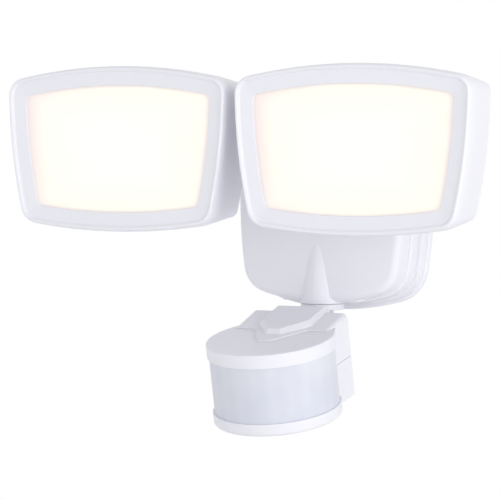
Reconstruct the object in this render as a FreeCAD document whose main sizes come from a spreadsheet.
"""Motion sensor security light: a wall canopy, two LED lamp heads on arms, and a swivelling sensor.

Millimetres. The origin is the centre of the canopy on the wall plane, +Z is up and the front faces -Y,
so a distance "forward" of something is measured along -Y.
"""

import FreeCAD, Part
import math
import os
import Sketcher
from FreeCAD import Placement, Rotation, Vector

DIMENSIONS = {
    # fits and gaps shared by all pieces
    "joint_gap": 0.3,
    "bolt_fit": 0.05,
    "fit_gap": 0.2,
    # how far a joined shape reaches into its neighbour, or a cut past the surface it starts from
    "overlap": 1.0,
    # canopy on the wall
    "canopy_half_width": 62.5,
    "canopy_half_height": 70.2,
    "canopy_side_radius": 300.0,
    "canopy_end_radius": 150.0,
    "canopy_corner_radius": 25.0,
    "canopy_wall": 2.5,
    "gasket_thickness": 1.5,
    "gasket_setback": 1.5,
    "gasket_width": 7.0,
    "flange_front": 6.0,
    "flange_step": 2.2,
    "middle_front": 14.0,
    "middle_step": 2.0,
    "shoulder_front": 23.0,
    "shoulder_step": 2.0,
    "panel_front": 40.6,
    "panel_crown": 3.5,
    "panel_crown_radius": 403.0,
    "panel_crown_margin": 5.0,
    "panel_edge_radius": 4.5,
    "step_edge_radius": 1.2,
    "web_thickness": 2.5,
    "floor_thickness": 3.0,
    # notch under the canopy and the half cone above the sensor's swivel
    "notch_rise": 5.4,
    "notch_half_width": 25.5,
    "notch_back": 9.0,
    "swivel_forward": 31.0,
    "cone_bottom_radius": 14.0,
    "cone_top_radius": 9.6,
    "cone_height": 37.8,
    # mounting strap and centre bolt
    "strap_half_length": 51.0,
    "strap_half_width": 11.0,
    "strap_thickness": 1.6,
    "strap_slot_spacing": 79.375,
    "strap_slot_length": 14.1,
    "strap_slot_radius": 2.3,
    "strap_corner_radius": 3.0,
    "centre_bolt_radius": 3.0,
    "centre_head_radius": 5.5,
    "centre_head_height": 3.5,
    "centre_slot_depth": 1.2,
    "centre_slot_half_width": 0.7,
    "plug_radius": 8.0,
    "plug_depth": 6.0,
    "plug_dome": 0.4,
    "plug_edge_radius": 0.6,
    "bolt_boss_radius": 9.5,
    # lead grommet
    "grommet_hole_radius": 6.0,
    "grommet_lip_radius": 8.0,
    "grommet_bore_radius": 4.0,
    "grommet_lip": 1.4,
    "grommet_across": 24.0,
    "grommet_drop": 32.0,
    # cover screws
    "cover_screw_across": 43.0,
    "cover_screw_height": 46.0,
    "cover_screw_radius": 1.7,
    "cover_screw_reach": 10.0,
    "cover_screw_spare": 2.0,
    "cover_screw_head_radius": 3.4,
    "cover_screw_head_height": 2.2,
    "cover_boss_radius": 5.0,
    # driver board
    "board_thickness": 1.6,
    "driver_half_width": 36.0,
    "driver_bottom": 13.0,
    "driver_height": 41.0,
    "driver_post_height": 2.5,
    "driver_post_radius": 3.0,
    "driver_screw_radius": 1.4,
    "driver_screw_head_radius": 2.6,
    "driver_screw_head_height": 1.6,
    "transformer_half_width": 12.0,
    "transformer_half_height": 10.0,
    "transformer_depth": 14.0,
    "capacitor_radius": 5.0,
    "capacitor_gap": 3.0,
    "capacitor_rise": 8.0,
    "capacitor_depth": 12.0,
    "relay_gap": 2.0,
    "relay_width": 13.0,
    "relay_depth": 6.0,
    "relay_bottom_drop": 11.0,
    "relay_top_drop": 2.0,
    # lamp arms
    "head_gap": 3.4,
    "head_height": 30.0,
    "arm_root_across": 36.0,
    "arm_pad_radius": 14.0,
    "arm_pad_front": 42.0,
    "arm_pad_edge_radius": 1.0,
    "arm_flange_radius": 13.0,
    "arm_flange_thickness": 4.0,
    "arm_flange_edge_radius": 1.2,
    "arm_tube_radius": 7.5,
    "arm_bend_radius": 16.0,
    "arm_stud_radius": 6.0,
    "arm_stud_bore": 4.0,
    "arm_nut_flats": 20.0,
    "arm_nut_thickness": 5.0,
    "arm_stud_spare": 3.0,
    "pan_forward": 68.5,
    "eye_radius": 9.5,
    "eye_half_thickness": 4.5,
    "neck_half_width": 6.5,
    # forks, bolts and the knuckle joints
    "fork_half_height": 8.8,
    "fork_half_width": 7.0,
    "fork_front": 14.0,
    "fork_slot_radius": 10.3,
    "tilt_offset": 22.0,
    "tongue_half_thickness": 4.0,
    "knuckle_radius": 7.5,
    "cheek_outer": 9.0,
    "pan_bolt_radius": 3.0,
    "pin_radius": 2.5,
    "bolt_head_radius": 5.0,
    "bolt_head_height": 3.0,
    "bolt_head_edge_radius": 1.0,
    "bolt_end": 0.6,
    "nut_flats": 8.6,
    # lamp head, measured from its tilt pin
    "head_half_width": 75.5,
    "head_widest_height": 39.3,
    "head_side_radius": 332.0,
    "head_top": 51.5,
    "head_top_radius": 335.0,
    "head_bottom": 49.0,
    "head_bottom_radius": 385.0,
    "head_corner_top": 12.0,
    "head_corner_bottom": 13.5,
    "head_back_corner_top": 5.0,
    "head_back_corner_bottom": 4.5,
    "head_back": 16.3,
    "head_seam": 50.0,
    "head_crest": 64.3,
    "head_taper_side": 8.6,
    "head_taper_end": 5.8,
    "head_wall": 2.4,
    "head_back_edge_radius": 2.5,
    "head_rim_depth": 6.0,
    "bezel_edge_radius": 4.0,
    "bezel_band": 11.6,
    "bezel_crest_width": 5.0,
    "bezel_dish": 3.0,
    "bezel_wall": 3.0,
    "bezel_lip": 1.6,
    "spigot_thickness": 1.6,
    "lens_flange_width": 2.6,
    "lens_flange_thickness": 1.9,
    "lens_gasket_thickness": 0.6,
    "lens_corner_radius": 3.0,
    "lens_sink": 0.1,
    "mouth_setback": 0.4,
    "rib_share": 0.154,
    "rib_thickness": 2.0,
    "rib_height": 3.4,
    "rib_top": 27.0,
    "rib_bottom": 25.0,
    "reflector_flange_thickness": 2.0,
    "reflector_wall": 1.4,
    "reflector_back": 35.6,
    "reflector_draw": 9.0,
    "led_board_inset": 15.0,
    "led_column_share": 0.23,
    "led_row_share": 0.49,
    "led_half_width": 1.75,
    "led_half_height": 1.4,
    "led_thickness": 0.9,
    "sink_plate_thickness": 3.0,
    "sink_fin_length": 9.0,
    "sink_fin_thickness": 1.5,
    "sink_fin_half_height": 24.0,
    "board_screw_radius": 1.5,
    "board_screw_head_radius": 2.6,
    "board_screw_head_height": 1.8,
    "board_screw_reach": 7.0,
    "board_post_radius": 3.8,
    # sensor, measured from its tilt pin
    "pivot_below_ceiling": 14.2,
    "sensor_tilt": 12.5,
    "collar_radius": 13.5,
    "collar_thickness": 3.8,
    "collar_edge_radius": 0.8,
    "sensor_knuckle_radius": 8.0,
    "stem_radius": 4.0,
    "stem_above_floor": 7.5,
    "well_radius": 7.4,
    "well_height": 12.0,
    "swivel_nut_flats": 11.0,
    "swivel_nut_thickness": 4.0,
    "washer_thickness": 1.0,
    "washer_radius": 6.4,
    "sensor_reach": 69.6,
    "sensor_radius": 39.0,
    "cap_top": 13.1,
    "cap_height": 8.2,
    "lens_height": 34.3,
    "base_height": 7.7,
    "cap_edge_radius": 1.0,
    "base_edge_radius": 2.2,
    "cap_wall": 2.5,
    "lens_setback": 1.1,
    "sensor_lens_wall": 1.5,
    "rear_half_width": 32.2,
    "rear_back": 27.2,
    "rear_top": 17.6,
    "rear_bottom": 34.0,
    "rear_wall": 3.0,
    "rear_edge_radius": 2.0,
    "rear_seam_height": -9.0,
    "seam_groove": 0.6,
    "slope_front": 55.0,
    "slope_edge": 0.7,
    "slope_side_radius": 3.5,
    "overlay_thickness": 0.8,
    "overlay_tip": 79.5,
    "overlay_tip_half_width": 4.0,
    "overlay_back_half_width": 24.5,
    "overlay_back": 43.0,
    "hood_tip": 66.0,
    "hood_tip_half_width": 4.8,
    "hood_shoulder": 48.5,
    "hood_half_width": 18.0,
    "hood_rear": 17.0,
    "hood_front_height": 16.4,
    "hood_crown": 25.6,
    "hood_crown_height": 19.8,
    "hood_bevel": 2.4,
    "hood_blank_above": 5.0,
    "hood_blank_below": 2.0,
    "hood_foot": 18.0,
    "hood_foot_height": 9.0,
    "neck_back": 8.8,
    "neck_top": 8.0,
    "detector_radius": 4.6,
    "detector_length": 4.5,
    "detector_height": -12.0,
    "sensor_board_half_width": 24.0,
    "sensor_board_top": 1.0,
    "sensor_board_forward": 66.0,
    "dial_across": 13.0,
    "dial_forward": 57.0,
    "dial_radius": 5.9,
    "dial_flange_radius": 8.0,
    "dial_flange_thickness": 2.0,
    "dial_proud": 1.3,
    "dial_slot_length": 8.0,
    "dial_slot_width": 1.6,
    "dial_slot_depth": 1.0,
}


class Size:
    """A size that carries its number and the sheet formula it comes from."""

    def __init__(self, number, formula):
        self.number = number
        self.formula = formula

    @staticmethod
    def of(other):
        return other if isinstance(other, Size) else Size(float(other), repr(float(other)))

    def _join(self, other, sign, number):
        return Size(number, f"({self.formula} {sign} {other.formula})")

    def __add__(self, other):
        other = Size.of(other)
        return self._join(other, "+", self.number + other.number)

    def __sub__(self, other):
        other = Size.of(other)
        return self._join(other, "-", self.number - other.number)

    def __mul__(self, other):
        other = Size.of(other)
        return self._join(other, "*", self.number * other.number)

    def __truediv__(self, other):
        other = Size.of(other)
        return self._join(other, "/", self.number / other.number)

    def __radd__(self, other):
        return Size.of(other) + self

    def __rsub__(self, other):
        return Size.of(other) - self

    def __rmul__(self, other):
        return Size.of(other) * self

    def __neg__(self):
        return self * -1


class Sizes:
    """The sheet's named sizes, read as attributes."""

    def __init__(self, sheet):
        for row, (name, value) in enumerate(DIMENSIONS.items(), start=1):
            sheet.set(f"A{row}", name.replace("_", " "))
            sheet.set(f"B{row}", str(value))
            sheet.setAlias(f"B{row}", name)
            setattr(self, name, Size(float(value), f"{sheet.Name}.{name}"))


doc = FreeCAD.newDocument("security_light")
dims = doc.addObject("Spreadsheet::Sheet", "dims")
S = Sizes(dims)
doc.recompute()
PIECES = []


# --- sketches -------------------------------------------------------------------------------------


def new_body(label, across=0.0, forward=0.0, height=0.0, lean=0.0):
    """An empty body whose frame stands at a place and leans forward about X by an angle."""
    body = doc.addObject("PartDesign::Body", label)
    body.Label = label
    across, forward, height, lean = (Size.of(each) for each in (across, forward, height, lean))
    spot = Vector(across.number, -forward.number, height.number)
    body.Placement = Placement(spot, Rotation(Vector(1, 0, 0), lean.number))
    body.setExpression("Placement.Base.x", across.formula)
    body.setExpression("Placement.Base.y", (-forward).formula)
    body.setExpression("Placement.Base.z", height.formula)
    if lean.number:
        body.setExpression("Placement.Rotation.Angle", lean.formula)
    PIECES.append(body)
    return body


def origin_feature(body, role):
    return next(each for each in body.Origin.OriginFeatures if each.Role == role)


def sketch_on(body, role, lift, name):
    """A sketch parallel to one of the body's own planes, lifted along that plane's normal."""
    sketch = body.newObject("Sketcher::SketchObject", f"{body.Label}_{name}")
    sketch.AttachmentSupport = [(origin_feature(body, role), "")]
    sketch.MapMode = "FlatFace"
    lift = Size.of(lift)
    sketch.AttachmentOffset = Placement(Vector(0, 0, lift.number), Rotation())
    sketch.setExpression("AttachmentOffset.Base.z", lift.formula)
    return sketch


def facing(body, forward, name):
    """A sketch that faces the front, a distance forward: its axes are X and Z."""
    return sketch_on(body, "XZ_Plane", forward, name)


def level(body, height, name):
    """A level sketch at a height: its axes are X and Y, so forward is -y."""
    return sketch_on(body, "XY_Plane", height, name)


def upright(body, across, name):
    """A sketch that faces +X, a distance across: its axes are Y and Z, so forward is -x."""
    return sketch_on(body, "YZ_Plane", across, name)


def bind(sketch, kind, *where, size):
    index = sketch.addConstraint(Sketcher.Constraint(kind, *where, size.number))
    sketch.setExpression(f"Constraints[{index}]", size.formula)


def fix_point(sketch, curve, point, x, y):
    bind(sketch, "DistanceX", -1, 1, curve, point, size=Size.of(x))
    bind(sketch, "DistanceY", -1, 1, curve, point, size=Size.of(y))


def circle(sketch, x, y, radius):
    x, y, radius = Size.of(x), Size.of(y), Size.of(radius)
    shape = Part.Circle(Vector(x.number, y.number, 0), Vector(0, 0, 1), radius.number)
    index = sketch.addGeometry(shape, False)
    fix_point(sketch, index, 3, x, y)
    bind(sketch, "Radius", index, size=radius)


def polygon(sketch, corners):
    """A closed outline through the corners, each an (x, y) pair."""
    corners = [(Size.of(x), Size.of(y)) for x, y in corners]
    spots = [Vector(x.number, y.number, 0) for x, y in corners]
    lines = []
    for start, end in zip(spots, spots[1:] + spots[:1]):
        lines.append(sketch.addGeometry(Part.LineSegment(start, end), False))
    for line, following, (x, y) in zip(lines, lines[1:] + lines[:1], corners):
        sketch.addConstraint(Sketcher.Constraint("Coincident", line, 2, following, 1))
        fix_point(sketch, line, 1, x, y)


def rectangle(sketch, x_low, x_high, y_low, y_high):
    polygon(sketch, [(x_low, y_low), (x_high, y_low), (x_high, y_high), (x_low, y_high)])


def hexagon(sketch, x, y, flats):
    """A nut's outline, with two corners on the sketch's x axis direction."""
    radius = Size.of(flats) / math.sqrt(3)
    turns = [math.radians(60 * corner) for corner in range(6)]
    polygon(sketch, [(x + radius * math.cos(turn), y + radius * math.sin(turn)) for turn in turns])


def slot(sketch, x, y, length, radius):
    """A slot along x with round ends, given its length end to end."""
    x, y, length, radius = (Size.of(each) for each in (x, y, length, radius))
    reach = length / 2 - radius
    axis = Vector(0, 0, 1)
    ends = []
    for side, start in ((1, -math.pi / 2), (-1, math.pi / 2)):
        centre = x + reach * side
        round_end = Part.Circle(Vector(centre.number, y.number, 0), axis, radius.number)
        arc = sketch.addGeometry(Part.ArcOfCircle(round_end, start, start + math.pi), False)
        fix_point(sketch, arc, 3, centre, y)
        bind(sketch, "Radius", arc, size=radius)
        ends.append(arc)
    right, left = ends
    for first, second, side in ((right, left, 1), (left, right, -1)):
        start = Vector(x.number + reach.number * side, y.number + radius.number * side, 0)
        end = Vector(x.number - reach.number * side, y.number + radius.number * side, 0)
        line = sketch.addGeometry(Part.LineSegment(start, end), False)
        sketch.addConstraint(Sketcher.Constraint("Tangent", first, 2, line, 1))
        sketch.addConstraint(Sketcher.Constraint("Tangent", line, 2, second, 1))


def tab(sketch, x, y, radius, reach, way):
    """A tab with one round end about (x, y) and a square end a reach away; way is a unit (x, y)."""
    x, y, radius, reach = (Size.of(each) for each in (x, y, radius, reach))
    wx, wy = way
    round_end = Part.Circle(Vector(x.number, y.number, 0), Vector(0, 0, 1), radius.number)
    start = math.atan2(wx, -wy)
    arc = sketch.addGeometry(Part.ArcOfCircle(round_end, start, start + math.pi), False)
    fix_point(sketch, arc, 3, x, y)
    bind(sketch, "Radius", arc, size=radius)
    corners = [(x + reach * wx + radius * side * wy, y + reach * wy - radius * side * wx)
               for side in (1, -1)]
    ends = [(x + radius * side * wy, y - radius * side * wx) for side in (1, -1)]
    route = [ends[0], corners[0], corners[1], ends[1]]
    spots = [Vector(a.number, b.number, 0) for a, b in route]
    lines = [sketch.addGeometry(Part.LineSegment(a, b), False) for a, b in zip(spots, spots[1:])]
    sketch.addConstraint(Sketcher.Constraint("Tangent", arc, 2, lines[0], 1))
    sketch.addConstraint(Sketcher.Constraint("Coincident", lines[0], 2, lines[1], 1))
    sketch.addConstraint(Sketcher.Constraint("Coincident", lines[1], 2, lines[2], 1))
    sketch.addConstraint(Sketcher.Constraint("Tangent", lines[2], 2, arc, 1))
    fix_point(sketch, lines[1], 1, *corners[0])
    fix_point(sketch, lines[1], 2, *corners[1])


class Bowed:
    """A rounded outline whose four sides bow outwards, symmetrical about the vertical axis.

    Each side is an arc. The side arcs reach half_width at widest_height, the end arcs reach top
    and -bottom on the axis, and a corner arc joins each pair.
    """

    def __init__(self, half_width, widest, side_radius, top, top_radius, bottom, bottom_radius,
                 corner_top, corner_bottom):
        self.half_width, self.widest, self.side_radius = half_width, Size.of(widest), side_radius
        self.top, self.top_radius = top, top_radius
        self.bottom, self.bottom_radius = bottom, bottom_radius
        self.corner_top, self.corner_bottom = corner_top, corner_bottom

    def drawn_in(self, side, end):
        """The same outline with its sides and its ends moved in by their own amounts."""
        return Bowed(self.half_width - side, self.widest, self.side_radius, self.top - end,
                     self.top_radius, self.bottom - end, self.bottom_radius,
                     self.corner_top, self.corner_bottom)

    def sharpened(self, by_top, by_bottom):
        """The same outline with smaller corner arcs."""
        return Bowed(self.half_width, self.widest, self.side_radius, self.top, self.top_radius,
                     self.bottom, self.bottom_radius, self.corner_top - by_top,
                     self.corner_bottom - by_bottom)

    def inset(self, depth, corner=None):
        """The parallel outline a depth inside, with sharper corners unless they are given."""
        return Bowed(self.half_width - depth, self.widest, self.side_radius - depth,
                     self.top - depth, self.top_radius - depth, self.bottom - depth,
                     self.bottom_radius - depth, corner or self.corner_top - depth,
                     corner or self.corner_bottom - depth)

    def draw(self, sketch):
        zero = Size.of(0)
        side_x = self.half_width - self.side_radius
        sides = [
            (side_x, self.widest, self.side_radius),
            (zero, self.top - self.top_radius, self.top_radius),
            (-side_x, self.widest, self.side_radius),
            (zero, self.bottom_radius - self.bottom, self.bottom_radius),
        ]
        corners = [self.corner_top, self.corner_top, self.corner_bottom, self.corner_bottom]
        quadrants = [(1, 1), (-1, 1), (-1, -1), (1, -1)]
        joints = []
        for index, (corner, quadrant) in enumerate(zip(corners, quadrants)):
            joints.append(corner_centre(sides[index], sides[(index + 1) % 4], corner, quadrant))
        curves = []
        for index, (x, y, radius) in enumerate(sides):
            before, after = joints[index - 1], joints[index]
            middle = Vector(x.number, y.number, 0)
            curves.append(add_arc(sketch, middle, radius.number, before, after))
            fix_point(sketch, curves[-1], 3, x, y)
            bind(sketch, "Radius", curves[-1], size=radius)
            following = sides[(index + 1) % 4]
            start = tangent_point(middle, after)
            end = tangent_point(Vector(following[0].number, following[1].number, 0), after)
            curves.append(add_arc(sketch, after, corners[index].number, start, end))
            bind(sketch, "Radius", curves[-1], size=corners[index])
        for curve, following in zip(curves, curves[1:] + curves[:1]):
            sketch.addConstraint(Sketcher.Constraint("Tangent", curve, 2, following, 1))


def corner_centre(first, second, corner, quadrant):
    """The centre of the arc that lies inside two larger arcs and touches both."""
    (x1, y1, r1), (x2, y2, r2) = [[each.number for each in side] for side in (first, second)]
    r1, r2 = r1 - corner.number, r2 - corner.number
    apart = math.hypot(x2 - x1, y2 - y1)
    along = (r1 * r1 - r2 * r2 + apart * apart) / (2 * apart)
    off = math.sqrt(r1 * r1 - along * along)
    ux, uy = (x2 - x1) / apart, (y2 - y1) / apart
    spots = [Vector(x1 + along * ux - way * off * uy, y1 + along * uy + way * off * ux, 0)
             for way in (1, -1)]
    return max(spots, key=lambda spot: spot.x * quadrant[0] + spot.y * quadrant[1])


def tangent_point(middle, spot):
    """A point beyond the spot, on the line from the middle of the larger arc through it."""
    return middle + (spot - middle) * 2


def add_arc(sketch, middle, radius, start, end):
    """A counter-clockwise arc between the directions of two points."""
    first = math.atan2(start.y - middle.y, start.x - middle.x)
    last = math.atan2(end.y - middle.y, end.x - middle.x)
    if last <= first:
        last += 2 * math.pi
    whole = Part.Circle(middle, Vector(0, 0, 1), radius)
    return sketch.addGeometry(Part.ArcOfCircle(whole, first, last), False)


# --- features -------------------------------------------------------------------------------------


def check_change(body, before, grows, name):
    """A feature that points the wrong way changes nothing and says nothing, so its volume is looked at."""
    after = body.Shape.Volume
    if (after - before) * (1 if grows else -1) < 1e-3:
        raise RuntimeError(f"{body.Label}: {name} changed the volume from {before} to {after}")


def feature(body, kind, name, grows, **settings):
    before = body.Shape.Volume if body.Tip and not body.Shape.isNull() else 0.0
    made = body.newObject(f"PartDesign::{kind}", f"{body.Label}_{name}")
    for key, value in settings.items():
        if isinstance(value, Size):
            made.setExpression(key, value.formula)
            value = value.number
        setattr(made, key, value)
    body.Tip = made
    doc.recompute()
    if "Up-to-date" not in made.State:
        raise RuntimeError(f"{body.Label}: {name} is {made.State}")
    check_change(body, before, grows, name)
    return made


def pad(body, sketch, length, name="pad"):
    return feature(body, "Pad", name, True, Profile=sketch, Length=Size.of(length))


def pocket(body, sketch, depth, name="pocket"):
    """A cut from the sketch, against its normal."""
    return feature(body, "Pocket", name, False, Profile=sketch, Length=Size.of(depth))


def loft(body, back, front, name="loft"):
    return feature(body, "AdditiveLoft", name, True, Profile=back, Sections=[front], Ruled=True)


def hollow(body, back, front, name="hollow"):
    return feature(body, "SubtractiveLoft", name, False, Profile=back, Sections=[front], Ruled=True)


def swept(body, sketch, path, name="swept"):
    return feature(body, "AdditivePipe", name, True, Profile=sketch, Spine=path)


def repeat(body, original, axis, length, count, name):
    """Repeats a feature along one of the body's own axes; the length spans the whole row."""
    row = body.newObject("PartDesign::LinearPattern", f"{body.Label}_{name}")
    row.Originals = [original]
    row.Direction = (origin_feature(body, axis), [""])
    row.Occurrences = count
    row.setExpression("Length", length.formula)
    before = body.Shape.Volume
    body.Tip = row
    doc.recompute()
    check_change(body, before, True, name)


def round_edges(body, radius, chosen, name="rounding"):
    edges = [f"Edge{index}" for index, edge in enumerate(body.Shape.Edges, start=1) if chosen(edge)]
    tip = body.Tip
    return feature(body, "Fillet", name, False, Base=(tip, edges), Radius=Size.of(radius))


def bevel_edges(body, size, chosen, name="bevel"):
    edges = [f"Edge{index}" for index, edge in enumerate(body.Shape.Edges, start=1) if chosen(edge)]
    tip = body.Tip
    return feature(body, "Chamfer", name, False, Base=(tip, edges), Size=Size.of(size))


def at_forward(body, forward):
    """Picks the edges that lie wholly at one distance forward in an unturned body."""
    y = body.Placement.Base.y - Size.of(forward).number
    return lambda edge: abs(edge.BoundBox.YMin - y) < 1e-3 and abs(edge.BoundBox.YMax - y) < 1e-3


def in_body(body, edge):
    """The edge's box in the body's own frame."""
    local = edge.copy()
    local.transformShape(body.Placement.inverse().toMatrix())
    return local.BoundBox


def along_depth(body):
    """Picks the straight edges that run from back to front."""
    def chosen(edge):
        box = edge.BoundBox
        return box.YLength > 1e-3 and box.XLength < 1e-3 and box.ZLength < 1e-3

    return chosen


def at_height(body, height):
    """Picks the edges that lie wholly at one height of the body's own frame."""
    z = Size.of(height).number

    def chosen(edge):
        box = in_body(body, edge)
        return abs(box.ZMin - z) < 1e-3 and abs(box.ZMax - z) < 1e-3

    return chosen


# --- shared shapes --------------------------------------------------------------------------------


def outlined(body, outline, forward, name):
    sketch = facing(body, forward, name)
    outline.draw(sketch)
    return sketch


def slab(body, outline, back, front, name):
    """A straight slab of an outline between two distances forward."""
    return pad(body, outlined(body, outline, back, f"{name}_outline"), front - back, name)


def opening(body, outline, back, front, name):
    """A straight cut of an outline between two distances forward."""
    return pocket(body, outlined(body, outline, front, f"{name}_outline"), front - back, name)


def posts(body, back, front, spots, radius, name):
    """Round posts between two distances forward."""
    sketch = facing(body, back, f"{name}_circles")
    for x, z in spots:
        circle(sketch, x, z, radius)
    return pad(body, sketch, Size.of(front) - back, name)


def holes(body, back, front, spots, radius, name):
    """Round holes between two distances forward."""
    sketch = facing(body, front, f"{name}_circles")
    for x, z in spots:
        circle(sketch, x, z, radius)
    return pocket(body, sketch, Size.of(front) - back, name)


def block(body, x_low, x_high, back, front, bottom, top, name):
    """A box between two distances across, forward and up."""
    sketch = facing(body, back, f"{name}_outline")
    rectangle(sketch, x_low, x_high, bottom, top)
    return pad(body, sketch, Size.of(front) - back, name)


def window(body, x_low, x_high, back, front, bottom, top, name):
    """A box-shaped cut between two distances across, forward and up."""
    sketch = facing(body, front, f"{name}_outline")
    rectangle(sketch, x_low, x_high, bottom, top)
    return pocket(body, sketch, Size.of(front) - back, name)


def column(body, forward, bottom, top, radius, name, across=0):
    """An upright round column."""
    sketch = level(body, bottom, f"{name}_circle")
    circle(sketch, across, -Size.of(forward), radius)
    return pad(body, sketch, Size.of(top) - bottom, name)


def shaft(body, forward, bottom, top, radius, name, across=0):
    """An upright round hole."""
    sketch = level(body, top, f"{name}_circle")
    circle(sketch, across, -Size.of(forward), radius)
    return pocket(body, sketch, Size.of(top) - bottom, name)


def axle(body, left, right, radius, name):
    """A round bar along X through the body's origin."""
    sketch = upright(body, left, f"{name}_circle")
    circle(sketch, 0, 0, radius)
    return pad(body, sketch, Size.of(right) - left, name)


def bore_across(body, left, right, radius, name, forward=0, height=0):
    """A round hole along X."""
    sketch = upright(body, right, f"{name}_circle")
    circle(sketch, -Size.of(forward), height, radius)
    return pocket(body, sketch, Size.of(right) - left, name)


def hexagon_bar(sketch_plane, body, low, high, flats, name, x=0, y=0):
    """A hexagonal bar, square to one of the sketch planes, between two distances along its normal."""
    sketch = sketch_plane(body, low, f"{name}_hexagon")
    hexagon(sketch, x, y, flats)
    return pad(body, sketch, Size.of(high) - low, name)


# --- canopy ---------------------------------------------------------------------------------------

CANOPY = Bowed(S.canopy_half_width, 0, S.canopy_side_radius, S.canopy_half_height,
               S.canopy_end_radius, S.canopy_half_height, S.canopy_end_radius,
               S.canopy_corner_radius, S.canopy_corner_radius)
MIDDLE = CANOPY.inset(S.flange_step)
SHOULDER = MIDDLE.inset(S.middle_step)
PANEL = SHOULDER.inset(S.shoulder_step)
CAVITY = PANEL.inset(S.canopy_wall)
WEB_BACK = S.middle_front - S.web_thickness
COVER_BACK = S.middle_front
CAVITY_FRONT = S.panel_front - S.panel_crown - S.canopy_wall
RECESS_FLOOR = S.panel_front - S.plug_depth
CEILING = S.canopy_half_height - S.notch_rise
FLOOR = CEILING - S.floor_thickness
HEAD_ACROSS = S.head_half_width + S.head_gap / 2
CORNER_SIGNS = [(1, 1), (-1, 1), (-1, -1), (1, -1)]
SIDES = [("left", -1), ("right", 1)]
CENTRE = [(0, 0)]
COVER_SCREWS = [(S.cover_screw_across * x, S.cover_screw_height * z) for x, z in CORNER_SIGNS]
ARM_ROOTS = [(S.arm_root_across * sign, S.head_height) for side, sign in SIDES]
GROMMET = [(S.grommet_across, -S.grommet_drop)]


def driver_screw_spots():
    x = S.driver_half_width - S.driver_post_radius
    low = S.driver_bottom + S.driver_post_radius
    high = S.driver_bottom + S.driver_height - S.driver_post_radius
    return [(x, low), (-x, low), (x, high), (-x, high)]


def cut_notch(body, back, front):
    """The flat-topped notch in the canopy's underside where the sensor's collar turns."""
    sketch = level(body, -CEILING, "notch_outline")
    rectangle(sketch, -S.notch_half_width, S.notch_half_width, -front, -back)
    pocket(body, sketch, S.canopy_half_height, "notch")


def make_wall_gasket():
    body = new_body("wall_gasket")
    rim = CANOPY.inset(S.gasket_setback)
    slab(body, rim, Size.of(0), S.gasket_thickness, "ring")
    opening(body, rim.inset(S.gasket_width), Size.of(0), S.gasket_thickness, "opening")


def make_strap():
    body = new_body("mounting_strap")
    block(body, -S.strap_half_length, S.strap_half_length, 0, S.strap_thickness,
          -S.strap_half_width, S.strap_half_width, "bar")
    round_edges(body, S.strap_corner_radius, along_depth(body), "corners")
    sketch = facing(body, S.strap_thickness, "slot_outlines")
    for side, sign in SIDES:
        slot(sketch, S.strap_slot_spacing / 2 * sign, 0, S.strap_slot_length, S.strap_slot_radius)
    pocket(body, sketch, S.strap_thickness, "slots")
    holes(body, 0, S.strap_thickness, CENTRE, S.centre_bolt_radius + S.bolt_fit, "thread")


def make_centre_bolt():
    body = new_body("centre_bolt")
    posts(body, S.bolt_end, RECESS_FLOOR, CENTRE, S.centre_bolt_radius, "shank")
    front = RECESS_FLOOR + S.centre_head_height
    posts(body, RECESS_FLOOR, front, CENTRE, S.centre_head_radius, "head")
    round_edges(body, S.bolt_head_edge_radius, at_forward(body, front), "head_edge")
    window(body, -S.centre_head_radius, S.centre_head_radius, front - S.centre_slot_depth, front,
           -S.centre_slot_half_width, S.centre_slot_half_width, "slot")


def make_plug():
    body = new_body("bolt_plug")
    back = RECESS_FLOOR + S.centre_head_height + S.bolt_fit
    front = S.panel_front + S.plug_dome
    posts(body, back, front, CENTRE, S.plug_radius - S.bolt_fit, "plug")
    round_edges(body, S.plug_edge_radius, at_forward(body, front), "plug_edge")


def make_canopy_base():
    body = new_body("canopy_base")
    slab(body, CANOPY, S.gasket_thickness, S.flange_front, "flange")
    round_edges(body, S.step_edge_radius, at_forward(body, S.flange_front), "flange_edge")
    slab(body, MIDDLE, S.flange_front - S.step_edge_radius, S.middle_front, "middle")
    cut_notch(body, S.notch_back, S.middle_front + S.overlap)
    opening(body, CAVITY, S.gasket_thickness, WEB_BACK, "wiring_space")
    posts(body, S.middle_front, S.middle_front + S.driver_post_height, driver_screw_spots(),
          S.driver_post_radius, "driver_posts")
    holes(body, WEB_BACK, S.middle_front, CENTRE, S.centre_bolt_radius + S.joint_gap, "bolt_hole")
    holes(body, WEB_BACK, S.middle_front, GROMMET, S.grommet_hole_radius, "lead_hole")
    holes(body, WEB_BACK, S.middle_front, COVER_SCREWS, S.cover_screw_radius + S.fit_gap,
          "screw_holes")
    holes(body, WEB_BACK, S.middle_front + S.driver_post_height, driver_screw_spots(),
          S.driver_screw_radius + S.bolt_fit, "driver_screw_bores")


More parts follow.
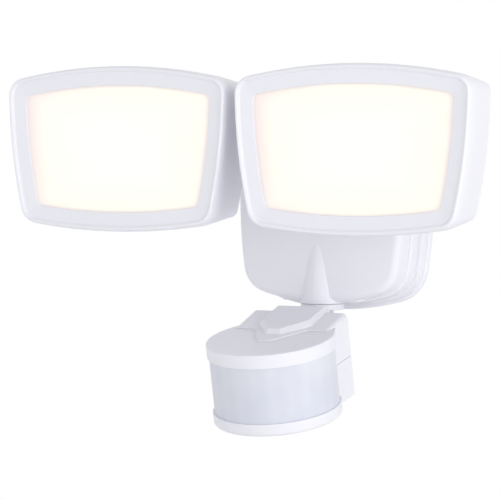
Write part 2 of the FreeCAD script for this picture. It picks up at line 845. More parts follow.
def make_canopy_cover():
    body = new_body("canopy_cover")
    slab(body, SHOULDER, COVER_BACK, S.shoulder_front, "shoulder")
    round_edges(body, S.step_edge_radius, at_forward(body, S.shoulder_front), "shoulder_edge")
    slab(body, PANEL, S.shoulder_front - S.step_edge_radius, S.panel_front, "panel")
    crown_panel(body)
    round_edges(body, S.panel_edge_radius, panel_rim, "panel_edge")
    half_cone(body)
    posts(body, S.shoulder_front, S.arm_pad_front, ARM_ROOTS, S.arm_pad_radius, "arm_pads")
    round_edges(body, S.arm_pad_edge_radius, at_forward(body, S.arm_pad_front), "pad_edges")
    cut_notch(body, COVER_BACK - S.overlap, S.panel_front + S.collar_radius)
    opening(body, CAVITY, COVER_BACK, CAVITY_FRONT, "cavity")
    add_floor(body)
    posts(body, COVER_BACK, CAVITY_FRONT, COVER_SCREWS, S.cover_boss_radius, "screw_bosses")
    posts(body, COVER_BACK, CAVITY_FRONT, CENTRE, S.bolt_boss_radius, "bolt_boss")
    holes(body, COVER_BACK, COVER_BACK + S.cover_screw_reach + S.cover_screw_spare, COVER_SCREWS,
          S.cover_screw_radius + S.bolt_fit, "screw_bores")
    holes(body, RECESS_FLOOR, S.panel_front + S.overlap, CENTRE, S.plug_radius, "plug_recess")
    holes(body, COVER_BACK, RECESS_FLOOR, CENTRE, S.centre_bolt_radius + S.joint_gap, "bolt_bore")
    holes(body, CAVITY_FRONT, S.arm_pad_front, ARM_ROOTS, S.arm_stud_radius + S.fit_gap,
          "stud_holes")
    shaft(body, S.swivel_forward, -FLOOR, S.well_height - FLOOR, S.well_radius, "swivel_well")
    shaft(body, S.swivel_forward, -CEILING, -FLOOR, S.stem_radius + S.joint_gap, "swivel_hole")


def add_floor(body):
    """A level floor inside the cavity, at the swivel, that the swivel's washer and nut stand over."""
    block(body, -S.notch_half_width, S.notch_half_width, COVER_BACK, CAVITY_FRONT,
          -FLOOR - S.floor_thickness / 2, -FLOOR, "floor")


def crown_panel(body):
    """Trims the panel's front to part of a large upright cylinder, so that it is fullest in the middle."""
    sketch = level(body, -S.canopy_half_height, "crown_outline")
    reach = S.canopy_half_width + S.panel_crown_margin
    middle = S.panel_crown_radius - S.panel_front
    turn = math.asin(reach.number / S.panel_crown_radius.number)
    whole = Part.Circle(Vector(0, middle.number, 0), Vector(0, 0, 1), S.panel_crown_radius.number)
    arc = sketch.addGeometry(Part.ArcOfCircle(whole, -math.pi / 2 - turn, -math.pi / 2 + turn), False)
    fix_point(sketch, arc, 3, 0, middle)
    bind(sketch, "Radius", arc, size=S.panel_crown_radius)
    edge = middle.number - S.panel_crown_radius.number * math.cos(turn)
    proud = -S.panel_front - S.panel_crown_margin
    spots = [Vector(reach.number, edge, 0), Vector(reach.number, proud.number, 0),
             Vector(-reach.number, proud.number, 0), Vector(-reach.number, edge, 0)]
    lines = [sketch.addGeometry(Part.LineSegment(a, b), False) for a, b in zip(spots, spots[1:])]
    for first, second in zip([arc] + lines, lines + [arc]):
        sketch.addConstraint(Sketcher.Constraint("Coincident", first, 2, second, 1))
    bind(sketch, "DistanceX", -1, 1, lines[0], 1, size=reach)
    fix_point(sketch, lines[0], 2, reach, proud)
    fix_point(sketch, lines[1], 2, -reach, proud)
    bind(sketch, "DistanceX", -1, 1, lines[2], 2, size=-reach)
    feature(body, "Pocket", "crown", False, Profile=sketch, Length=S.canopy_half_height * 2,
            Reversed=True)


def panel_rim(edge):
    """Picks the rim of the crowned panel: the only edges that lie near its front."""
    return edge.BoundBox.YMax < -(S.panel_front - S.panel_crown * 1.5).number


def half_cone(body):
    """The cone over the swivel, turned about the swivel's upright axis."""
    sketch = upright(body, 0, "cone_profile")
    polygon(sketch, [
        (-S.swivel_forward, -CEILING),
        (-S.swivel_forward, S.cone_height - CEILING),
        (-S.swivel_forward - S.cone_top_radius, S.cone_height - CEILING),
        (-S.swivel_forward - S.cone_bottom_radius, -CEILING),
    ])
    ends = [Vector(-S.swivel_forward.number, height, 0) for height in (-1, 1)]
    axis = sketch.addGeometry(Part.LineSegment(*ends), True)
    sketch.addConstraint(Sketcher.Constraint("Vertical", axis))
    bind(sketch, "DistanceX", -1, 1, axis, 1, size=-S.swivel_forward)
    feature(body, "Revolution", "cone", True, Profile=sketch, ReferenceAxis=(sketch, ["Axis0"]),
            Angle=360)


def make_cover_screws():
    body = new_body("cover_screws")
    posts(body, WEB_BACK - S.cover_screw_head_height, WEB_BACK, COVER_SCREWS,
          S.cover_screw_head_radius, "heads")
    posts(body, WEB_BACK, COVER_BACK + S.cover_screw_reach, COVER_SCREWS, S.cover_screw_radius,
          "shanks")


def make_grommet():
    body = new_body("lead_grommet")
    back, front = WEB_BACK - S.grommet_lip, S.middle_front + S.grommet_lip
    posts(body, back, WEB_BACK, GROMMET, S.grommet_lip_radius, "back_lip")
    posts(body, WEB_BACK, S.middle_front, GROMMET, S.grommet_hole_radius, "waist")
    posts(body, S.middle_front, front, GROMMET, S.grommet_lip_radius, "front_lip")
    holes(body, back, front, GROMMET, S.grommet_bore_radius, "bore")


BOARD_BACK = S.middle_front + S.driver_post_height
BOARD_FRONT = BOARD_BACK + S.board_thickness
DRIVER_TOP = S.driver_bottom + S.driver_height


def make_driver():
    board = new_body("driver_board")
    block(board, -S.driver_half_width, S.driver_half_width, BOARD_BACK, BOARD_FRONT,
          S.driver_bottom, DRIVER_TOP, "plate")
    holes(board, BOARD_BACK, BOARD_FRONT, driver_screw_spots(),
          S.driver_screw_radius + S.fit_gap, "screw_holes")
    parts = new_body("driver_parts")
    middle = S.driver_bottom + S.driver_height / 2
    block(parts, -S.transformer_half_width, S.transformer_half_width, BOARD_FRONT,
          BOARD_FRONT + S.transformer_depth, middle - S.transformer_half_height,
          middle + S.transformer_half_height, "transformer")
    capacitor = -S.transformer_half_width - S.capacitor_gap - S.capacitor_radius
    posts(parts, BOARD_FRONT, BOARD_FRONT + S.capacitor_depth,
          [(capacitor, middle + S.capacitor_rise)], S.capacitor_radius, "capacitor")
    relay = S.transformer_half_width + S.relay_gap
    block(parts, relay, relay + S.relay_width, BOARD_FRONT, BOARD_FRONT + S.relay_depth,
          middle - S.relay_bottom_drop, middle - S.relay_top_drop, "relay")
    screws = new_body("driver_screws")
    posts(screws, BOARD_FRONT, BOARD_FRONT + S.driver_screw_head_height, driver_screw_spots(),
          S.driver_screw_head_radius, "heads")
    posts(screws, WEB_BACK + S.overlap, BOARD_FRONT, driver_screw_spots(), S.driver_screw_radius,
          "shanks")


# --- lamp arms ------------------------------------------------------------------------------------


def arm_path(body, sign):
    """Forward from the canopy, then round a quarter turn and outwards to the pan bolt's eye."""
    sketch = level(body, 0, "path")
    bend = S.arm_bend_radius
    root = S.arm_root_across * sign
    start = S.arm_pad_front + S.arm_flange_thickness / 2
    bend_start = S.pan_forward - bend
    bend_end = root + bend * sign
    tube_end = (HEAD_ACROSS - S.fork_slot_radius) * sign
    first = Part.LineSegment(Vector(root.number, -start.number, 0),
                             Vector(root.number, -bend_start.number, 0))
    middle = Vector(bend_end.number, -bend_start.number, 0)
    whole = Part.Circle(middle, Vector(0, 0, 1), bend.number)
    turn = (math.pi, math.pi * 3 / 2) if sign > 0 else (math.pi * 3 / 2, math.pi * 2)
    last = Part.LineSegment(Vector(bend_end.number, -S.pan_forward.number, 0),
                            Vector(tube_end.number, -S.pan_forward.number, 0))
    lines = [sketch.addGeometry(first, False), sketch.addGeometry(last, False)]
    arc = sketch.addGeometry(Part.ArcOfCircle(whole, *turn), False)
    near, far = (1, 2) if sign > 0 else (2, 1)
    sketch.addConstraint(Sketcher.Constraint("Tangent", lines[0], 2, arc, near))
    sketch.addConstraint(Sketcher.Constraint("Tangent", arc, far, lines[1], 1))
    fix_point(sketch, arc, 3, bend_end, -bend_start)
    bind(sketch, "Radius", arc, size=bend)
    bind(sketch, "DistanceY", -1, 1, lines[0], 1, size=-start)
    bind(sketch, "DistanceX", -1, 1, lines[1], 2, size=tube_end)
    return sketch


def make_arm(side, sign):
    body = new_body(f"arm_{side}", height=S.head_height)
    root = [(S.arm_root_across * sign, 0)]
    flange_front = S.arm_pad_front + S.arm_flange_thickness
    posts(body, S.arm_pad_front, flange_front, root, S.arm_flange_radius, "flange")
    round_edges(body, S.arm_flange_edge_radius, at_forward(body, flange_front), "flange_edge")
    path = arm_path(body, sign)
    start = facing(body, S.arm_pad_front + S.arm_flange_thickness / 2, "tube_circle")
    circle(start, root[0][0], 0, S.arm_tube_radius)
    swept(body, start, path, "tube")
    stud_back = CAVITY_FRONT - S.arm_nut_thickness - S.arm_stud_spare
    posts(body, stud_back, S.arm_pad_front, root, S.arm_stud_radius, "stud")
    holes(body, stud_back, S.arm_pad_front, root, S.arm_stud_bore, "lead_bore")
    neck = level(body, -S.eye_half_thickness, "neck_outline")
    tube_end = HEAD_ACROSS - S.fork_slot_radius - S.overlap * 2
    ends = sorted([HEAD_ACROSS * sign, tube_end * sign], key=lambda size: size.number)
    rectangle(neck, *ends, -S.pan_forward - S.neck_half_width, -S.pan_forward + S.neck_half_width)
    pad(body, neck, S.eye_half_thickness * 2, "neck")
    column(body, S.pan_forward, -S.eye_half_thickness, S.eye_half_thickness, S.eye_radius, "eye",
           across=HEAD_ACROSS * sign)
    shaft(body, S.pan_forward, -S.eye_half_thickness, S.eye_half_thickness,
          S.pan_bolt_radius + S.bolt_fit, "eye_bore", across=HEAD_ACROSS * sign)


def make_arm_nuts():
    body = new_body("arm_nuts", height=S.head_height)
    back = CAVITY_FRONT - S.arm_nut_thickness
    sketch = facing(body, back, "nut_hexagons")
    for side, sign in SIDES:
        hexagon(sketch, S.arm_root_across * sign, 0, S.arm_nut_flats)
    pad(body, sketch, S.arm_nut_thickness, "nuts")
    holes(body, back, CAVITY_FRONT, [(S.arm_root_across * sign, 0) for side, sign in SIDES],
          S.arm_stud_radius + S.bolt_fit, "threads")


def make_fork(side, sign):
    """The part on the arm's eye that pans: a fork behind and a tongue for the head's cheeks in front."""
    body = new_body(f"head_fork_{side}", HEAD_ACROSS * sign, S.pan_forward, S.head_height)
    column(body, 0, -S.fork_half_height, S.fork_half_height, S.eye_radius, "knuckle")
    block(body, -S.fork_half_width, S.fork_half_width, 0, S.fork_front, -S.fork_half_height,
          S.fork_half_height, "web")
    gap = S.eye_half_thickness + S.joint_gap
    shaft(body, 0, -gap, gap, S.fork_slot_radius, "eye_slot")
    tongue = upright(body, -S.tongue_half_thickness, "tongue_outline")
    reach = S.tilt_offset - S.fork_front + S.overlap * 2
    tab(tongue, -S.tilt_offset, 0, S.knuckle_radius, reach, (1, 0))
    pad(body, tongue, S.tongue_half_thickness * 2, "tongue")
    shaft(body, 0, -S.fork_half_height, S.fork_half_height, S.pan_bolt_radius + S.bolt_fit,
          "pan_bore")
    bore_across(body, -S.tongue_half_thickness, S.tongue_half_thickness, S.pin_radius + S.bolt_fit,
                "tilt_bore", forward=S.tilt_offset)


def make_pan_bolt(side, sign):
    """The bolt that clamps the fork on the arm's eye, and its nut below."""
    place = (HEAD_ACROSS * sign, S.pan_forward, S.head_height)
    top = S.fork_half_height
    nut_bottom = -top - S.bolt_head_height
    bolt = new_body(f"pan_bolt_{side}", *place)
    column(bolt, 0, nut_bottom - S.bolt_end, top, S.pan_bolt_radius, "shank")
    column(bolt, 0, top, top + S.bolt_head_height, S.bolt_head_radius, "head")
    round_edges(bolt, S.bolt_head_edge_radius, at_height(bolt, top + S.bolt_head_height),
                "head_edge")
    nut = new_body(f"pan_nut_{side}", *place)
    hexagon_bar(level, nut, nut_bottom, -top, S.nut_flats, "nut")
    shaft(nut, 0, nut_bottom, -top, S.pan_bolt_radius + S.bolt_fit, "thread")


def make_tilt_pin(bolt_label, nut_label, place, lean=0.0):
    """The bolt that a head tilts on, and its nut."""
    outer = S.cheek_outer
    bolt = new_body(bolt_label, *place, lean)
    axle(bolt, -outer - S.bolt_head_height - S.bolt_end, outer, S.pin_radius, "shank")
    axle(bolt, outer, outer + S.bolt_head_height, S.bolt_head_radius, "head")
    nut = new_body(nut_label, *place, lean)
    hexagon_bar(upright, nut, -outer - S.bolt_head_height, -outer, S.nut_flats, "nut")
    bore_across(nut, -outer - S.bolt_head_height, -outer, S.pin_radius + S.bolt_fit, "thread")


# --- lamp heads -----------------------------------------------------------------------------------

HEAD = Bowed(S.head_half_width, S.head_widest_height, S.head_side_radius, S.head_top,
             S.head_top_radius, S.head_bottom, S.head_bottom_radius, S.head_corner_top,
             S.head_corner_bottom)
LENS_FRONT = S.head_crest - S.bezel_dish
LENS_OPENING = HEAD.inset(S.bezel_band, S.lens_corner_radius)
LENS_FLANGE = HEAD.inset(S.bezel_band - S.lens_flange_width, S.lens_corner_radius)
GASKET_FRONT = LENS_FRONT - S.bezel_lip
FLANGE_FRONT = GASKET_FRONT - S.lens_gasket_thickness
FLANGE_BACK = FLANGE_FRONT - S.lens_flange_thickness
REFLECTOR_FLANGE_BACK = FLANGE_BACK - S.reflector_flange_thickness
MOUTH = HEAD.inset(S.bezel_band + S.mouth_setback, S.lens_corner_radius)
FUNNEL_BACK = HEAD.inset(S.bezel_band + S.mouth_setback + S.reflector_draw,
                         S.lens_corner_radius)
LED_BOARD = HEAD.inset(S.led_board_inset, S.lens_corner_radius)
LED_BOARD_BACK = S.reflector_back - S.board_thickness
SINK_BACK = LED_BOARD_BACK - S.sink_plate_thickness
COLUMN_PITCH = (FUNNEL_BACK.half_width - S.reflector_wall) * S.led_column_share
ROW_PITCH = (FUNNEL_BACK.bottom - S.reflector_wall) * S.led_row_share
BOARD_SCREWS = [(COLUMN_PITCH * 3 * x, ROW_PITCH * 1.5 * z) for x, z in CORNER_SIGNS]
HEAD_FLOOR = S.head_back + S.head_wall


def shell_at(forward):
    """The head's outline at a distance forward, drawn in and with sharper corners than in front."""
    share = (S.head_crest - forward) / (S.head_crest - S.head_back)
    drawn = HEAD.drawn_in(S.head_taper_side * share, S.head_taper_end * share)
    return drawn.sharpened((S.head_corner_top - S.head_back_corner_top) * share,
                           (S.head_corner_bottom - S.head_back_corner_bottom) * share)


SEAM = shell_at(S.head_seam)
SPIGOT = SEAM.inset(S.bezel_wall + S.fit_gap)


def head_place(sign):
    return HEAD_ACROSS * sign, S.pan_forward + S.tilt_offset, S.head_height


def cheeks(body, reach, radius):
    """Two cheeks about the tilt pin, one each side of the tongue, and the pin's bore."""
    inner = S.tongue_half_thickness + S.joint_gap
    for name, start in (("left_cheek", -S.cheek_outer), ("right_cheek", inner)):
        sketch = upright(body, start, f"{name}_outline")
        tab(sketch, 0, 0, radius, reach, (-1, 0))
        pad(body, sketch, S.cheek_outer - inner, name)
    bore_across(body, -S.cheek_outer, S.cheek_outer, S.pin_radius + S.bolt_fit, "pin_bore")


def make_rear_housing(side, sign):
    body = new_body(f"rear_housing_{side}", *head_place(sign))
    back = outlined(body, shell_at(S.head_back), S.head_back, "back_outline")
    front = outlined(body, SEAM, S.head_seam, "seam_outline")
    loft(body, back, front, "shell")
    round_edges(body, S.head_back_edge_radius, at_forward(body, S.head_back), "back_edge")
    slab(body, SPIGOT, S.head_seam, REFLECTOR_FLANGE_BACK, "spigot")
    rim = S.head_seam - S.head_rim_depth
    inner_back = outlined(body, shell_at(HEAD_FLOOR).inset(S.head_wall), HEAD_FLOOR, "inner_back")
    inner_front = outlined(body, shell_at(rim).inset(S.head_wall), rim, "inner_front")
    hollow(body, inner_back, inner_front, "cavity")
    opening(body, SPIGOT.inset(S.spigot_thickness), rim, REFLECTOR_FLANGE_BACK, "mouth")
    posts(body, HEAD_FLOOR, SINK_BACK, BOARD_SCREWS, S.board_post_radius, "posts")
    holes(body, HEAD_FLOOR, SINK_BACK, BOARD_SCREWS, S.board_screw_radius + S.bolt_fit,
          "post_bores")
    add_ribs(body)
    cheeks(body, S.head_back + S.overlap, S.knuckle_radius)


def add_ribs(body):
    """Upright cooling ribs across the back."""
    pitch = shell_at(S.head_back).half_width * S.rib_share
    first = -pitch * 5
    rib = block(body, first - S.rib_thickness / 2, first + S.rib_thickness / 2,
                S.head_back - S.rib_height, S.head_back + S.overlap, -S.rib_bottom, S.rib_top,
                "rib")
    repeat(body, rib, "X_Axis", pitch * 10, 11, "ribs")


def make_bezel(side, sign):
    body = new_body(f"bezel_{side}", *head_place(sign))
    back = outlined(body, SEAM, S.head_seam, "seam_outline")
    front = outlined(body, HEAD, S.head_crest, "crest_outline")
    loft(body, back, front, "shell")
    round_edges(body, S.bezel_edge_radius, at_forward(body, S.head_crest), "outer_edge")
    dish_back = outlined(body, LENS_OPENING, LENS_FRONT, "dish_back")
    dish_front = outlined(body, HEAD.inset(S.bezel_crest_width), S.head_crest, "dish_front")
    hollow(body, dish_back, dish_front, "dish")
    opening(body, LENS_OPENING, GASKET_FRONT, LENS_FRONT, "lens_opening")
    opening(body, LENS_FLANGE.inset(-S.fit_gap), FLANGE_BACK, GASKET_FRONT, "lens_seat")
    opening(body, SEAM.inset(S.bezel_wall), S.head_seam, FLANGE_BACK, "cavity")


def make_lens(side, sign):
    body = new_body(f"lens_{side}", *head_place(sign))
    slab(body, LENS_FLANGE, FLANGE_BACK, FLANGE_FRONT, "flange")
    slab(body, LENS_OPENING.inset(S.fit_gap), FLANGE_FRONT, LENS_FRONT - S.lens_sink, "face")
    opening(body, MOUTH.inset(S.reflector_wall, S.lens_corner_radius), FLANGE_BACK, FLANGE_FRONT,
            "hollow_back")
    gasket = new_body(f"lens_gasket_{side}", *head_place(sign))
    slab(gasket, LENS_FLANGE, FLANGE_FRONT, GASKET_FRONT, "ring")
    opening(gasket, LENS_OPENING, FLANGE_FRONT, GASKET_FRONT, "opening")


def make_reflector(side, sign):
    body = new_body(f"reflector_{side}", *head_place(sign))
    slab(body, SPIGOT, REFLECTOR_FLANGE_BACK, FLANGE_BACK, "flange")
    back = outlined(body, FUNNEL_BACK, S.reflector_back, "funnel_back")
    front = outlined(body, MOUTH, REFLECTOR_FLANGE_BACK, "funnel_front")
    loft(body, back, front, "funnel")
    inner_back = outlined(body, FUNNEL_BACK.inset(S.reflector_wall, S.lens_corner_radius),
                          S.reflector_back, "inner_back")
    inner_front = outlined(body, MOUTH.inset(S.reflector_wall, S.lens_corner_radius),
                           FLANGE_BACK, "inner_front")
    hollow(body, inner_back, inner_front, "inside")


def make_led_parts(side, sign):
    board = new_body(f"led_board_{side}", *head_place(sign))
    slab(board, LED_BOARD, LED_BOARD_BACK, S.reflector_back, "plate")
    holes(board, LED_BOARD_BACK, S.reflector_back, BOARD_SCREWS,
          S.board_screw_radius + S.fit_gap, "screw_holes")
    chips = new_body(f"led_chips_{side}", *head_place(sign))
    sketch = facing(chips, S.reflector_back, "chip_outlines")
    for across in (-3.5, -2.5, -1.5, -0.5, 0.5, 1.5, 2.5, 3.5):
        x, z = COLUMN_PITCH * across, -ROW_PITCH * 1.5
        rectangle(sketch, x - S.led_half_width, x + S.led_half_width,
                  z - S.led_half_height, z + S.led_half_height)
    row = pad(chips, sketch, S.led_thickness, "chips")
    repeat(chips, row, "Z_Axis", ROW_PITCH * 3, 4, "rows")


def make_heat_sink(side, sign):
    body = new_body(f"heat_sink_{side}", *head_place(sign))
    slab(body, LED_BOARD, SINK_BACK, LED_BOARD_BACK, "plate")
    sketch = facing(body, SINK_BACK - S.sink_fin_length, "fin_outlines")
    for place in (-4, -2, -1, 0, 1, 2, 4):
        x = COLUMN_PITCH * place
        rectangle(sketch, x - S.sink_fin_thickness / 2, x + S.sink_fin_thickness / 2,
                  -S.sink_fin_half_height, S.sink_fin_half_height)
    pad(body, sketch, S.sink_fin_length, "fins")
    holes(body, SINK_BACK, LED_BOARD_BACK, BOARD_SCREWS, S.board_screw_radius + S.fit_gap,
          "screw_holes")


def make_board_screws(side, sign):
    body = new_body(f"board_screws_{side}", *head_place(sign))
    posts(body, SINK_BACK - S.board_screw_reach, S.reflector_back, BOARD_SCREWS,
          S.board_screw_radius, "shanks")
    posts(body, S.reflector_back, S.reflector_back + S.board_screw_head_height, BOARD_SCREWS,
          S.board_screw_head_radius, "heads")


def make_head(side, sign):
    make_rear_housing(side, sign)
    make_bezel(side, sign)
    make_lens(side, sign)
    make_reflector(side, sign)
    make_led_parts(side, sign)
    make_heat_sink(side, sign)
    make_board_screws(side, sign)
    make_tilt_pin(f"tilt_pin_{side}", f"tilt_nut_{side}", head_place(sign))


# --- sensor ---------------------------------------------------------------------------------------

PIVOT = CEILING + S.pivot_below_ceiling
SENSOR_PLACE = (0, S.swivel_forward, -PIVOT)
COLLAR_TOP = -CEILING - S.joint_gap
COLLAR_BOTTOM = COLLAR_TOP - S.collar_thickness
WASHER_BOTTOM = S.joint_gap - FLOOR
NUT_BOTTOM = WASHER_BOTTOM + S.washer_thickness
CAP_BOTTOM = S.cap_top - S.cap_height
BASE_TOP = CAP_BOTTOM - S.lens_height
BASE_BOTTOM = BASE_TOP - S.base_height
BASE_FLOOR = BASE_BOTTOM + S.cap_wall
SENSOR_LENS_RADIUS = S.sensor_radius - S.lens_setback
SENSOR_BORE = SENSOR_LENS_RADIUS - S.sensor_lens_wall
DIALS = [("time_dial", -1), ("range_dial", 1)]


def make_swivel():
    """The collar that pans under the canopy, with its stem above and its tongue below."""
    body = new_body("swivel_collar", 0, S.swivel_forward, 0)
    column(body, 0, COLLAR_BOTTOM, COLLAR_TOP, S.collar_radius, "collar")
    round_edges(body, S.collar_edge_radius, at_height(body, COLLAR_BOTTOM), "collar_edge")
    column(body, 0, COLLAR_TOP, S.stem_above_floor - FLOOR, S.stem_radius, "stem")
    tongue = upright(body, -S.tongue_half_thickness, "tongue_outline")
    tab(tongue, 0, -PIVOT, S.sensor_knuckle_radius, PIVOT + COLLAR_BOTTOM + S.overlap, (0, 1))
    pad(body, tongue, S.tongue_half_thickness * 2, "tongue")
    bore_across(body, -S.tongue_half_thickness, S.tongue_half_thickness, S.pin_radius + S.bolt_fit,
                "pin_bore", height=-PIVOT)
    washer = new_body("swivel_washer", 0, S.swivel_forward, 0)
    column(washer, 0, WASHER_BOTTOM, NUT_BOTTOM, S.washer_radius, "washer")
    shaft(washer, 0, WASHER_BOTTOM, NUT_BOTTOM, S.stem_radius + S.bolt_fit, "hole")
    nut = new_body("swivel_nut", 0, S.swivel_forward, 0)
    hexagon_bar(level, nut, NUT_BOTTOM, NUT_BOTTOM + S.swivel_nut_thickness, S.swivel_nut_flats,
                "nut")
    shaft(nut, 0, NUT_BOTTOM, NUT_BOTTOM + S.swivel_nut_thickness, S.stem_radius + S.bolt_fit,
          "thread")


def sensor_body(label):
    return new_body(label, *SENSOR_PLACE, S.sensor_tilt)


def make_top_cap():
    body = sensor_body("sensor_top_cap")
    column(body, S.sensor_reach, CAP_BOTTOM, S.cap_top, S.sensor_radius, "cap")
    round_edges(body, S.cap_edge_radius, at_height(body, S.cap_top), "top_edge")
    shaft(body, S.sensor_reach, CAP_BOTTOM, S.cap_top - S.cap_wall, SENSOR_BORE, "inside")


def make_sensor_lens():
    """A curved lens round the front and sides; the rear housing closes it behind."""
    body = sensor_body("sensor_lens")
    column(body, S.sensor_reach, BASE_TOP, CAP_BOTTOM, SENSOR_LENS_RADIUS, "tube")
    shaft(body, S.sensor_reach, BASE_TOP, CAP_BOTTOM, SENSOR_BORE, "inside")
    reach = S.rear_half_width + S.joint_gap / 2
    behind = S.sensor_reach - S.sensor_radius - S.overlap
    window(body, -reach, reach, behind, S.sensor_reach, BASE_TOP, CAP_BOTTOM, "rear_opening")


def make_bottom_cap():
    body = sensor_body("sensor_bottom_cap")
    column(body, S.sensor_reach, BASE_BOTTOM, BASE_TOP, S.sensor_radius, "cap")
    round_edges(body, S.base_edge_radius, at_height(body, BASE_BOTTOM), "bottom_edge")
    shaft(body, S.sensor_reach, BASE_FLOOR, BASE_TOP, SENSOR_BORE, "inside")
    for name, sign in DIALS:
        shaft(body, S.dial_forward, BASE_BOTTOM, BASE_FLOOR, S.dial_radius + S.joint_gap,
              f"{name}_hole", across=S.dial_across * sign)


def make_sensor_rear():
    """The rear housing, its arrow-shaped hood over the top cap and the cheeks for the tilt pin."""
    body = sensor_body("sensor_rear_housing")
    hood_underside = S.cap_top + S.fit_gap / 2
    add_hood(body)
    add_block(body, hood_underside)
    add_overlay(body, hood_underside)
    block(body, -S.cheek_outer, S.cheek_outer, S.neck_back, S.rear_back + S.overlap,
          -S.sensor_knuckle_radius, S.neck_top, "neck")
    cheeks(body, S.neck_back + S.overlap, S.sensor_knuckle_radius)
    clear = S.sensor_radius + S.fit_gap
    shaft(body, S.sensor_reach, CAP_BOTTOM - S.fit_gap / 2, hood_underside, clear, "cap_notch")
    shaft(body, S.sensor_reach, BASE_TOP, CAP_BOTTOM, SENSOR_BORE, "lens_notch")
    shaft(body, S.sensor_reach, BASE_BOTTOM, BASE_TOP + S.fit_gap / 2, clear, "base_notch")
    inner = S.rear_half_width - S.rear_wall
    window(body, -inner, inner, S.rear_back + S.rear_wall, S.sensor_reach,
           -S.rear_bottom + S.rear_wall, CAP_BOTTOM + 5, "inside")
    cut_seam(body)


def add_block(body, ledge):
    """The block behind the lens. Its top slopes down to a thin front edge over the cap."""
    outline = upright(body, -S.rear_half_width, "block_outline")
    polygon(outline, [(-S.rear_back, -S.rear_bottom), (-S.slope_front, -S.rear_bottom),
                      (-S.slope_front, ledge + S.slope_edge), (-S.rear_back, S.rear_top)])
    pad(body, outline, S.rear_half_width * 2, "block")
    round_edges(body, S.slope_side_radius, slope_sides(body, ledge), "slope_sides")
    round_edges(body, S.rear_edge_radius, rear_corners(body), "rear_corners")


def slope_sides(body, ledge):
    """Picks the two long edges beside the block's sloping top."""

    def chosen(edge):
        box = in_body(body, edge)
        at_side = abs(abs(box.XMin) - S.rear_half_width.number) < 1e-3 and box.XLength < 1e-3
        return at_side and box.YLength > 20 and box.ZMin > ledge.number

    return chosen


def rear_corners(body):
    """Picks the two upright rear edges of the block and the one below them."""
    back, bottom = -S.rear_back.number, -S.rear_bottom.number

    def chosen(edge):
        box = in_body(body, edge)
        behind = abs(box.YMin - back) < 1e-3 and abs(box.YMax - back) < 1e-3
        along_bottom = abs(box.ZMin - bottom) < 1e-3 and box.XLength > 40
        return behind and (box.ZLength > 40 or along_bottom)

    return chosen


def add_hood(body):
    """The wedge on top: pointed in front, rising to the back, with bevelled sides."""
    above = S.hood_crown_height + S.hood_blank_above
    under = S.hood_foot_height - S.hood_blank_below
    over, low, front = S.overlap, under - S.overlap, S.hood_tip + S.overlap
    hood = level(body, under, "hood_outline")
    polygon(hood, [(-S.hood_tip_half_width, -S.hood_tip), (S.hood_tip_half_width, -S.hood_tip),
                   (S.hood_half_width, -S.hood_shoulder), (S.hood_half_width, -S.hood_rear),
                   (-S.hood_half_width, -S.hood_rear), (-S.hood_half_width, -S.hood_shoulder)])
    pad(body, hood, above - under, "hood")
    slopes = upright(body, S.hood_half_width + over, "hood_slopes")
    polygon(slopes, [(-front, S.hood_front_height), (-S.hood_crown, S.hood_crown_height),
                     (-S.hood_foot, S.hood_foot_height), (-S.hood_foot, low),
                     (over - S.hood_rear, low), (over - S.hood_rear, above + over),
                     (-front, above + over)])
    pocket(body, slopes, (S.hood_half_width + over) * 2, "hood_top")
    bevel_edges(body, S.hood_bevel, hood_rim(body), "hood_bevel")


def add_overlay(body, underside):
    """The flat arrow point that lies on the top cap."""
    overlay = level(body, underside, "overlay_outline")
    polygon(overlay, [(-S.overlay_tip_half_width, -S.overlay_tip),
                      (S.overlay_tip_half_width, -S.overlay_tip),
                      (S.overlay_back_half_width, -S.overlay_back),
                      (-S.overlay_back_half_width, -S.overlay_back)])
    pad(body, overlay, S.overlay_thickness, "overlay")


def hood_rim(body):
    """Picks the front and side edges of the hood's sloping top."""
    front = S.hood_tip + S.overlap
    rise = (S.hood_crown_height - S.hood_front_height) / (front - S.hood_crown)

    def on_slope(point):
        behind = front.number + point.y
        return abs(point.z - S.hood_front_height.number - behind * rise.number) < 1e-3

    def chosen(edge):
        local = edge.copy()
        local.transformShape(body.Placement.inverse().toMatrix())
        ends = [vertex.Point for vertex in local.Vertexes]
        crown = all(abs(end.y + S.hood_crown.number) < 1e-3 for end in ends)
        return all(on_slope(end) for end in ends) and not crown

    return chosen


def cut_seam(body):
    """The fine groove round the housing where its two halves meet."""
    sketch = level(body, S.rear_seam_height, "seam_outline")
    outer, inner = S.rear_half_width + S.overlap, S.rear_half_width - S.seam_groove
    back, groove_back = S.rear_back - S.overlap, S.rear_back + S.seam_groove
    polygon(sketch, [(-outer, -back), (-S.cheek_outer, -back), (-S.cheek_outer, -groove_back),
                     (-inner, -groove_back), (-inner, -S.sensor_reach), (-outer, -S.sensor_reach)])
    polygon(sketch, [(outer, -back), (S.cheek_outer, -back), (S.cheek_outer, -groove_back),
                     (inner, -groove_back), (inner, -S.sensor_reach), (outer, -S.sensor_reach)])
    pocket(body, sketch, S.seam_groove, "seam")


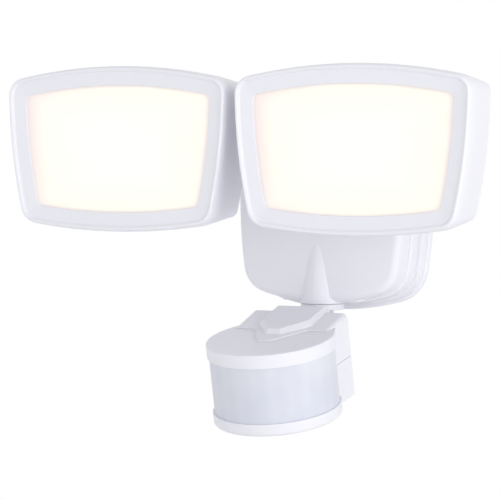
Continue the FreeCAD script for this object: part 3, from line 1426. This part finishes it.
def make_sensor_inside():
    board = sensor_body("sensor_board")
    front = S.sensor_board_forward + S.board_thickness
    block(board, -S.sensor_board_half_width, S.sensor_board_half_width, S.sensor_board_forward,
          front, BASE_FLOOR, S.sensor_board_top, "plate")
    detector = sensor_body("heat_detector")
    posts(detector, front, front + S.detector_length, [(0, S.detector_height)],
          S.detector_radius, "can")


def make_dial(name, sign):
    """A dial for a screwdriver, held inside the bottom cap by its flange."""
    body = sensor_body(name)
    across = S.dial_across * sign
    bottom = BASE_BOTTOM - S.dial_proud
    flange = BASE_FLOOR + S.joint_gap
    column(body, S.dial_forward, bottom, flange, S.dial_radius, "knob", across=across)
    column(body, S.dial_forward, flange, flange + S.dial_flange_thickness, S.dial_flange_radius,
           "flange", across=across)
    sketch = level(body, bottom + S.dial_slot_depth, "slot_outline")
    half = S.dial_slot_width / 2
    rectangle(sketch, across - S.dial_slot_length / 2, across + S.dial_slot_length / 2,
              -S.dial_forward - half, -S.dial_forward + half)
    pocket(body, sketch, S.dial_slot_depth, "slot")


# --- the whole light ------------------------------------------------------------------------------


def build():
    make_wall_gasket()
    make_strap()
    make_centre_bolt()
    make_plug()
    make_canopy_base()
    make_canopy_cover()
    make_cover_screws()
    make_grommet()
    make_driver()
    make_arm_nuts()
    for side, sign in SIDES:
        make_arm(side, sign)
        make_fork(side, sign)
        make_pan_bolt(side, sign)
        make_head(side, sign)
    make_swivel()
    make_top_cap()
    make_sensor_lens()
    make_bottom_cap()
    make_sensor_rear()
    make_sensor_inside()
    make_tilt_pin("sensor_tilt_pin", "sensor_tilt_nut", SENSOR_PLACE, S.sensor_tilt)
    for name, sign in DIALS:
        make_dial(name, sign)


def finish():
    """Looks at every object, then writes each piece."""
    doc.recompute()
    for each in doc.Objects:
        if "Invalid" in each.State or "Error" in each.State:
            raise RuntimeError(f"{each.Label} is {each.State}")
    for piece in PIECES:
        if piece.Shape.isNull() or not piece.Shape.isValid():
            raise RuntimeError(f"{piece.Label} has no valid shape")
    os.makedirs("parts", exist_ok=True)
    for piece in PIECES:
        piece.Shape.exportStep(f"parts/{piece.Label}.step")
        solids = len(piece.Shape.Solids)
        print(f"{piece.Label:24s} solids {solids:3d} volume {piece.Shape.Volume:10.1f}")


build()
finish()
